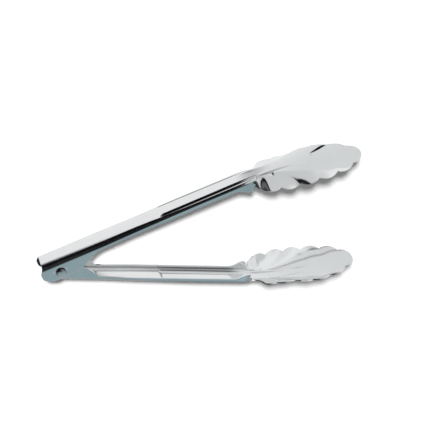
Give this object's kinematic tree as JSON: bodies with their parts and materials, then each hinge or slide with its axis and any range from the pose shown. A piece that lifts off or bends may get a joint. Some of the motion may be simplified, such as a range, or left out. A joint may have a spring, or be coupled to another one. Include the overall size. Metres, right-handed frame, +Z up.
{
  "type": "serving tongs",
  "caption": "Serving tongs with stamped channel arms and scalloped scoop heads, hinged on a rivet and pushed open by a coil spring.",
  "frame": {"origin": "centre of the footprint, on the table on which the tongs lie open on their side", "axes": "+X runs from the hinge to the tips, midway between the arms. +Y points to the outer arm. +Z is up, within a few degrees of the rivet's axis."},
  "size_m": [0.236, 0.1132, 0.0381],
  "materials": {
    "polished_sheet": "mirror-polished stainless steel sheet",
    "rivet_steel": "polished stainless steel",
    "spring_wire": "drawn stainless spring wire"
  },
  "bodies": {
    "outer": {"outer_arm": "polished_sheet", "hinge_rivet": "rivet_steel", "torsion_spring": "spring_wire"},
    "inner": {"inner_arm": "polished_sheet"}
  },
  "joints": [
    {"name": "hinge", "type": "hinge", "parent": "outer", "child": "inner", "pos_m": [-0.10343, 0, 0.00971], "axis": [-0.0523, 0, 0.9986], "range_deg": [0, 26.4], "stiffness_Nm_per_rad": 0.29, "springref_deg": -17.19, "deforming": ["torsion_spring"]}
  ]
}
